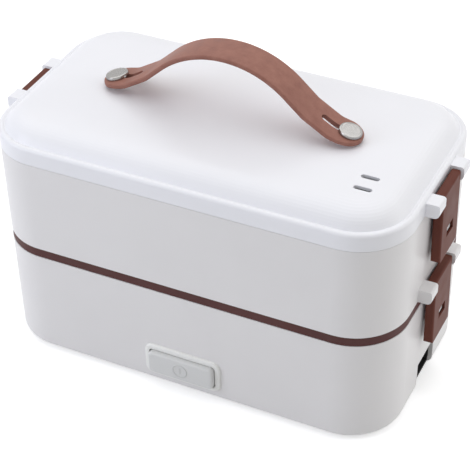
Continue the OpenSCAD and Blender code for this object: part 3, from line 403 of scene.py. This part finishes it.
low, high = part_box("power_button")
half_w -= FRAME_RIM + BUTTON_GAP
half_h -= FRAME_RIM + BUTTON_GAP
SYMBOL_H = 0.3 * MM
face_y = low.y + SYMBOL_H
back_y = high.y - STEM_L
profile = [(FACE_INSET, face_y)]
profile += reversed(arc((BUTTON_EDGE, face_y + BUTTON_EDGE), BUTTON_EDGE, 180, 270))
profile += [(0, back_y - FLANGE_T), (-FLANGE_REACH, back_y - FLANGE_T), (-FLANGE_REACH, back_y)]
bm = bmesh.new()
loft(bm, front_rings(frame_mid, half_w, half_h, BUTTON_CORNER, profile), caps=True)
stem_rings = front_rings(frame_mid, STEM_HALF, STEM_HALF, STEM_CORNER, [(0, back_y), (0, high.y)])
loft(bm, stem_rings, caps=True)
button_piece = mesh_piece("power_button_moulding", bm, "power_button", button_plastic)
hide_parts("power_button")

symbol_ink = plastic("power symbol", (210, 210, 209), (206, 206, 205), grain=1500.0, dull=0.5, shiny=0.42,
                     bump=(0.05, 0.02 * MM))
SYMBOL_R = 4.6 * MM
SYMBOL_LINE = 0.8 * MM
BAR_HALF_H = 2.1 * MM
BAR_CORNER = 0.35 * MM
facing = Matrix.Translation((frame_mid.x, face_y, frame_mid.z)) @ Matrix.Rotation(math.radians(90), 4, "X")
edge = SYMBOL_H / 2
inner_r = SYMBOL_R - SYMBOL_LINE
ring_section = [(SYMBOL_R, -edge), (SYMBOL_R, edge), (SYMBOL_R - edge, SYMBOL_H), (inner_r + edge, SYMBOL_H),
                (inner_r, edge), (inner_r, -edge)]
bar_outline = rounded_outline(SYMBOL_LINE / 2, BAR_HALF_H, BAR_CORNER, 3)
bar_rings = [[Vector((frame_mid.x + x, y, frame_mid.z + z)) for x, z in bar_outline]
             for y in (face_y + edge, face_y - SYMBOL_H)]
bm = bmesh.new()
lathe(bm, ring_section, facing)
loft(bm, bar_rings, caps=True)
mesh_piece("power_symbol", bm, "power_button", symbol_ink)


# ---------------------------------------------------------------------------------------------------
# Bowls and their lids. The bowls are drawn stainless with a flat flange. The lower two stand in the
# heating dish, and the upper two on the steam plate. The lids are milky plastic with a round steam plug.

milky_lid = plastic("milky lid plastic", (226, 228, 230), (216, 219, 222), dull=0.3, shiny=0.18)
for tier in ("lower", "upper"):
    for side in ("left", "right"):
        dress(f"{tier}_bowl_{side}", sheet_steel)
        dress(f"{tier}_bowl_lid_{side}", milky_lid)


# ---------------------------------------------------------------------------------------------------
# Upper tier: a white shell like the base, with a dark brown silicone band pressed into its underside
# and a perforated steam plate on its floor.

brown_silicone = plastic("dark brown silicone band", (84, 48, 46), (78, 44, 42), grain=1300.0, dull=0.62,
                         shiny=0.5, bump=(0.2, 0.04 * MM), Specular_IOR_Level=0.25)
for part in ("tier_shell", "tier_ears", "tier_catches"):
    dress(part, white_shell)
dress("tier_seal", brown_silicone)
dress("steam_plate", sheet_steel)


# ---------------------------------------------------------------------------------------------------
# Latches: brown mouldings that hang from steel pins between the shells' ears. Each has a window that
# snaps over a catch on the wall below.

latch_brown = plastic("brown latch plastic", (98, 51, 39), (92, 46, 35), dull=0.56, shiny=0.46,
                      bump=(0.1, 0.03 * MM), Specular_IOR_Level=0.18)
for latch in ("upper_latch_left", "upper_latch_right", "lower_latch_left", "lower_latch_right"):
    dress(latch, latch_brown)
for pin in ("upper_pin_left", "upper_pin_right", "lower_pin_left", "lower_pin_right"):
    dress(pin, plated_steel)


# ---------------------------------------------------------------------------------------------------
# Lid: a white shell with a rounded rim, a fine groove and a low crown. Under it are a screwed liner,
# a silicone gasket and a short duct below the two steam slots.

# The lid and its ears are the shells' white polypropylene, coloured lighter than the shells: painted light
# for the overhead lamp on the lid's top.
lid_white_painted_light = plastic("white polypropylene painted lighter for the lid", (243, 243, 247), (241, 241, 245), dull=0.35, shiny=0.32,
                    bump=(0.04, 0.02 * MM))
# The duct is coloured near black as painted shade, so that the steam slots above it read dark.
duct_painted_shade = plastic("duct rubber painted black as slot shade", (26, 26, 27), (20, 20, 21), grain=1200.0, dull=0.7, shiny=0.55)
dress("lid_shell", lid_white_painted_light)
dress("lid_ears", lid_white_painted_light)
dress("lid_liner", inner_white)
dress("lid_gasket", silicone)
dress("steam_duct", duct_painted_shade)
dress("liner_screws", plated_steel)


# ---------------------------------------------------------------------------------------------------
# Strap: one strip of red-brown leather with round ends and burnished edges. It arches up from the two
# studs, and a slot at each end slides over its stud.

MOTTLE_SCALE = 140.0


def make_leather():
    """Leather: fine pores, and a soft mottle of two close colours."""
    group, ins, outs = new_group(
        "leather grain",
        [("Color", "NodeSocketColor", (0.4, 0.2, 0.15, 1)), ("Worn", "NodeSocketColor", (0.5, 0.25, 0.18, 1)),
         ("Pores", "NodeSocketFloat", 1100.0), ("Dull", "NodeSocketFloat", 0.62),
         ("Shiny", "NodeSocketFloat", 0.46)],
        [("Color", "NodeSocketColor"), ("Roughness", "NodeSocketFloat"), ("Height", "NodeSocketFloat")])
    place = add(group, "ShaderNodeTexCoord").outputs["Object"]
    blotches = noise_at(group, place, MOTTLE_SCALE, detail=4.0, roughness=0.6)
    mottle = spread_to(group, blotches, 0.3, 0.7, 0.0, 1.0)
    colour = blend_colours(group, mottle, ins.outputs["Color"], ins.outputs["Worn"])
    group.links.new(colour, outs.inputs["Color"])
    gloss = spread_to(group, mottle, 0.0, 1.0, ins.outputs["Dull"], ins.outputs["Shiny"])
    group.links.new(gloss, outs.inputs["Roughness"])
    pores = add(group, "ShaderNodeTexVoronoi", Randomness=1.0)
    group.links.new(place, pores.inputs["Vector"])
    group.links.new(ins.outputs["Pores"], pores.inputs["Scale"])
    group.links.new(spread_to(group, pores.outputs["Distance"], 0.0, 0.7, 0.0, 1.0), outs.inputs["Height"])
    return group


leather = finish_with("red-brown leather", make_leather(),
                      {"Color": linear(158, 110, 96), "Worn": linear(138, 89, 76)}, bump=(0.5, 0.08 * MM),
                      Specular_IOR_Level=0.35)
# The strap, its slots and the path that it follows. Slopes are in degrees from the level.
STRAP_HALF_W = 10.25 * MM
STRAP_T = 2.6 * MM
STRAP_EDGE = 0.9 * MM
STUD_X = 67.5 * MM
STUD_TILT = 13.0
SLOT_L = 14.0 * MM
SLOT_R = 2.1 * MM
END_REACH = 7.1 * MM
CROWN_TOP = 146.4 * MM
STRAP_LIFT = 2.4 * MM
STRAP_SEAT = CROWN_TOP + STRAP_LIFT + STRAP_T / 2
MID_Y = 2.2 * MM
LOWER_SLOPE = 30.6
UPPER_SLOPE = 41.8
TOE_RUN = 6.7 * MM
LOWER_RUN = 13.2 * MM
UPPER_RUN = 12.5 * MM
TOE_BEND_R = 12.0 * MM
KNEE_BEND_R = 8.0 * MM
EDGE_ANGLES = (90, 67, 45, 22, 0)
EVEN_CUTS = 44
LEAST_CUT = 0.12 * MM
LEAST_SLOT = 0.25 * MM


def strap_path():
    """Finely spaced (x, z, slope) along the right half of the strap, from its end to the middle."""
    path = []

    def run(length, slope, steps):
        x, z, _ = path[-1]
        for i in range(1, steps + 1):
            d = length * i / steps
            path.append((x - d * math.cos(slope), z + d * math.sin(slope), slope))

    def bend(radius, start, stop, steps):
        x, z, _ = path[-1]
        side = 1 if stop > start else -1
        for i in range(1, steps + 1):
            now = start + (stop - start) * i / steps
            path.append((x + side * radius * (math.sin(start) - math.sin(now)),
                         z + side * radius * (math.cos(start) - math.cos(now)), now))

    a0, a1, a2 = (math.radians(a) for a in (STUD_TILT, LOWER_SLOPE, UPPER_SLOPE))
    reach = END_REACH / math.cos(a0)
    path.append((STUD_X + reach * math.cos(a0), STRAP_SEAT - reach * math.sin(a0), a0))
    run(reach + TOE_RUN, a0, 40)
    bend(TOE_BEND_R, a0, a1, 12)
    run(LOWER_RUN, a1, 24)
    bend(KNEE_BEND_R, a1, a2, 8)
    run(UPPER_RUN, a2, 16)
    bend(path[-1][0] / math.sin(a2), a2, 0.0, 40)
    return path


def on_path(path, x):
    """Height and slope of the strap's middle line at a distance x from the middle."""
    for (x0, z0, s0), (x1, z1, s1) in zip(path, path[1:]):
        if x1 <= x <= x0:
            t = (x0 - x) / (x0 - x1)
            return z0 + t * (z1 - z0), s0 + t * (s1 - s0)
    return path[-1][1], 0.0


def strap_columns():
    """Distances from the middle at which the strap is cut across, dense at its end and slot."""
    end_x = STUD_X + END_REACH - STRAP_HALF_W
    places = {round(end_x + STRAP_HALF_W * math.cos(math.radians(a)), 7) for a in range(4, 91, 4)}
    for centre, turn in ((STUD_X, 1), (STUD_X - SLOT_L, -1)):
        places |= {round(centre + turn * SLOT_R * math.sin(math.radians(a)), 7) for a in range(0, 91, 10)}
    places |= {round(end_x * i / EVEN_CUTS, 7) for i in range(EVEN_CUTS + 1)}
    ordered = sorted(places, reverse=True)
    kept = [ordered[0]]
    for x in ordered[1:]:
        if kept[-1] - x > LEAST_CUT or x == 0:
            kept.append(x)
    return kept


def slot_half(x):
    """Half width of the slot at a distance x from the middle, or 0 where it has closed."""
    if STUD_X - SLOT_L <= x <= STUD_X:
        return SLOT_R
    off = x - STUD_X if x > STUD_X else STUD_X - SLOT_L - x
    half = math.sqrt(max(SLOT_R ** 2 - off ** 2, 0.0))
    return half if half >= LEAST_SLOT else 0.0


def strap_section(half_w, slot):
    """Half of the strap's section as (across, up), from the slot over the rounded edge to the underside."""
    half_t = STRAP_T / 2
    edge = min(STRAP_EDGE, 0.9 * half_w)
    section = [(slot, half_t)]
    for sign, angles in ((1, EDGE_ANGLES), (-1, [-a for a in reversed(EDGE_ANGLES)])):
        for a in map(math.radians, angles):
            section.append((half_w - edge + edge * math.cos(a),
                            sign * (half_t - STRAP_EDGE) + STRAP_EDGE * math.sin(a)))
    return section + [(slot, -half_t)]


def strap_half(bm, side, path):
    """One half of the strap, on the side +1 or -1 along X."""
    end_x = STUD_X + END_REACH - STRAP_HALF_W
    made = []
    for x in strap_columns():
        z, slope = on_path(path, x)
        over = max(x - end_x, 0.0)
        half_w = math.sqrt(max(STRAP_HALF_W ** 2 - over ** 2, 0.0))
        slot = slot_half(x)
        section = strap_section(half_w, slot)
        rows = {}
        for hand in (1, -1):
            rows[hand] = [
                bm.verts.new((side * (x + d * math.sin(slope)), MID_Y + hand * y, z + d * math.cos(slope)))
                for y, d in section]
        if slot == 0.0:
            for end in (0, -1):
                bm.verts.remove(rows[-1][end])
                rows[-1][end] = rows[1][end]
        made.append((slot, rows))
    for (slot_a, first), (slot_b, second) in zip(made, made[1:]):
        for hand in (1, -1):
            a, b = first[hand], second[hand]
            for i in range(len(a) - 1):
                bm.faces.new((a[i], a[i + 1], b[i + 1], b[i]))
            if slot_a or slot_b:
                bm.faces.new((a[0], b[0], b[-1], a[-1]))
    tip = made[0][1]
    bm.faces.new(tip[1] + tip[-1][-2:0:-1])


WELD = 0.001 * MM
half_path = strap_path()
bm = bmesh.new()
for side in (1, -1):
    strap_half(bm, side, half_path)
bmesh.ops.remove_doubles(bm, verts=bm.verts[:], dist=WELD)
strap_piece = mesh_piece("leather_strap", bm, "lid", leather, sharp=50.0)
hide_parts("strap")


# ---------------------------------------------------------------------------------------------------
# Studs: turned steel discs with a flat brushed face and a bright bevelled rim, lying on the strap. Each
# has a shank through the washer and the lid's crown, held by a nut inside.

cap_steel = steel("turned stud steel", (172, 170, 168), (150, 148, 146), (900.0, 900.0, 900.0), dull=0.3,
                  shiny=0.18)
CAP_R = 6.3 * MM
CAP_H = 2.0 * MM
CAP_BEVEL = 0.9 * MM
CAP_FOOT_EDGE = 0.2 * MM
CAP_CLEAR = 0.1 * MM
RIM_FLAT = 0.3 * MM
RIM_STEP = 0.2 * MM
FACE_SINK = 0.15 * MM
SHANK_R = 1.8 * MM
cap_foot = STRAP_T / 2 + CAP_CLEAR
cap_top = cap_foot + CAP_H
round_off = 0.3 * CAP_BEVEL
rim_r = CAP_R - CAP_BEVEL
cap_section = [(0, cap_foot), (CAP_R - CAP_FOOT_EDGE, cap_foot), (CAP_R, cap_foot + CAP_FOOT_EDGE),
               (CAP_R, cap_top - CAP_BEVEL), (CAP_R - round_off, cap_top - round_off), (rim_r, cap_top),
               (rim_r - RIM_FLAT, cap_top), (rim_r - RIM_FLAT - RIM_STEP, cap_top - RIM_STEP),
               (0, cap_top - FACE_SINK)]
shank_top = STRAP_SEAT + STRAP_T / 2
for side, sign in (("left", -1), ("right", 1)):
    low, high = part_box("stud_" + side)
    tilt = Matrix.Rotation(sign * math.radians(STUD_TILT), 4, "Y")
    seat = Matrix.Translation((sign * STUD_X, MID_Y, STRAP_SEAT)) @ tilt
    bm = bmesh.new()
    lathe(bm, cap_section, seat)
    lathe(bm, [(0, low.z), (SHANK_R, low.z), (SHANK_R, shank_top), (0, shank_top)],
          Matrix.Translation((sign * STUD_X, MID_Y, 0)), steps=32)
    stud = mesh_piece("turned_stud_" + side, bm, "lid", cap_steel, sharp=25.0)
    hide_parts("stud_" + side)
dress("stud_washers", plated_steel)
dress("stud_nuts", plated_steel)


# ---------------------------------------------------------------------------------------------------
# Floor, light and camera. The floor is a wide pale sheet that reads white to the camera but keeps the
# shadow close to the box. Soft light comes from a large panel overhead and two small ones, front left and
# rear right. The camera stands where the photo's stood.

FLOOR_HALF = 4.0
bm = bmesh.new()
for x, y in ((-1, -1), (1, -1), (1, 1), (-1, 1)):
    bm.verts.new((x * FLOOR_HALF, y * FLOOR_HALF, 0))
bm.faces.new(bm.verts[:])
floor_mesh = bpy.data.meshes.new("floor")
bm.to_mesh(floor_mesh)
bm.free()
floor = bpy.data.objects.new("floor", floor_mesh)
bpy.context.scene.collection.objects.link(floor)

# Where it is seen directly, the floor glows by itself. Between these two distances from the box its
# glow rises from the first strength to the second.
GLOW_REACH = (0.5, 2.0)
GLOW_STRENGTH = (0.5, 0.8)
ROOM_LIGHT = 0.36


def seen_directly(tree):
    """1 for rays from the camera and for mirrored rays, and 0 for the rays that only carry light."""
    rays = add(tree, "ShaderNodeLightPath")
    seen = add(tree, "ShaderNodeMath", operation="MAXIMUM")
    tree.links.new(rays.outputs["Is Camera Ray"], seen.inputs[0])
    tree.links.new(rays.outputs["Is Glossy Ray"], seen.inputs[1])
    return seen.outputs[0]


floor_paper = bpy.data.materials.new("white paper floor")
floor_paper.use_nodes = True
tree = floor_paper.node_tree
paper = tree.nodes["Principled BSDF"]
paper.inputs["Base Color"].default_value = (0.8, 0.8, 0.8, 1)
paper.inputs["Roughness"].default_value = 0.9
paper.inputs["Specular IOR Level"].default_value = 0.1
glow = add(tree, "ShaderNodeMath", operation="MULTIPLY")
tree.links.new(seen_directly(tree), glow.inputs[0])
reach = add(tree, "ShaderNodeVectorMath", operation="LENGTH")
tree.links.new(add(tree, "ShaderNodeTexCoord").outputs["Object"], reach.inputs[0])
tree.links.new(spread_to(tree, reach.outputs["Value"], *GLOW_REACH, *GLOW_STRENGTH), glow.inputs[1])
paper.inputs["Emission Color"].default_value = (1, 1, 1, 1)
tree.links.new(glow.outputs[0], paper.inputs["Emission Strength"])
floor_mesh.materials.append(floor_paper)

sky = bpy.data.worlds.new("studio")
bpy.context.scene.world = sky
sky.use_nodes = True
tree = sky.node_tree
background = tree.nodes["Background"]
background.inputs["Color"].default_value = (1, 1, 1, 1)
tree.links.new(spread_to(tree, seen_directly(tree), 0.0, 1.0, ROOM_LIGHT, 1.0), background.inputs["Strength"])


def panel(name, place, target, width, height, power, colour=(1, 1, 1)):
    """A soft rectangular lamp at a place, turned towards a target."""
    lamp = bpy.data.lights.new(name, "AREA")
    lamp.shape = "RECTANGLE"
    lamp.size = width
    lamp.size_y = height
    lamp.energy = power
    lamp.color = colour
    holder = bpy.data.objects.new(name, lamp)
    holder.location = place
    holder.rotation_euler = (Vector(target) - Vector(place)).to_track_quat("-Z", "Y").to_euler()
    bpy.context.scene.collection.objects.link(holder)


panel("overhead panel", (-0.1, 0.3, 1.3), (-0.05, 0.15, 0), 2.2, 2.2, 13.6)
panel("front left panel", (-0.8, -0.75, 0.5), (0, 0, 0.07), 0.7, 0.7, 4.4, (0.84, 0.88, 1.0))
panel("rear right panel", (0.9, 0.35, 0.5), (0, 0, 0.07), 0.7, 0.7, 2.2)

# The camera fitted to the photo. Angles are in radians, and the lens and sensor in millimetres.
SENSOR = 36.0
VIEW_AZIMUTH = 0.458
VIEW_ELEVATION = 0.708
VIEW_ROLL = -0.020
VIEW_DISTANCE = 0.87054
VIEW_TARGET = Vector((0.001542, 0.0022, 0.00018))
LENS = 112.58
LENS_SHIFT = (-0.00542, 0.18627)
back = Vector((math.sin(VIEW_AZIMUTH) * math.cos(VIEW_ELEVATION),
               -math.cos(VIEW_AZIMUTH) * math.cos(VIEW_ELEVATION), math.sin(VIEW_ELEVATION)))
level = Vector((math.cos(VIEW_AZIMUTH), math.sin(VIEW_AZIMUTH), 0))
upright = back.cross(level)
right = math.cos(VIEW_ROLL) * level + math.sin(VIEW_ROLL) * upright
up = math.cos(VIEW_ROLL) * upright - math.sin(VIEW_ROLL) * level
camera_data = bpy.data.cameras.new("camera")
camera_data.sensor_width = SENSOR
camera_data.lens = LENS
camera_data.shift_x, camera_data.shift_y = LENS_SHIFT
camera_data.clip_start = 0.01
camera = bpy.data.objects.new("camera", camera_data)
bpy.context.scene.collection.objects.link(camera)
place = VIEW_TARGET + VIEW_DISTANCE * back
camera.matrix_world = Matrix.Translation(place) @ Matrix((right, up, back)).transposed().to_4x4()
bpy.context.scene.camera = camera
bpy.context.scene.view_settings.view_transform = "Standard"
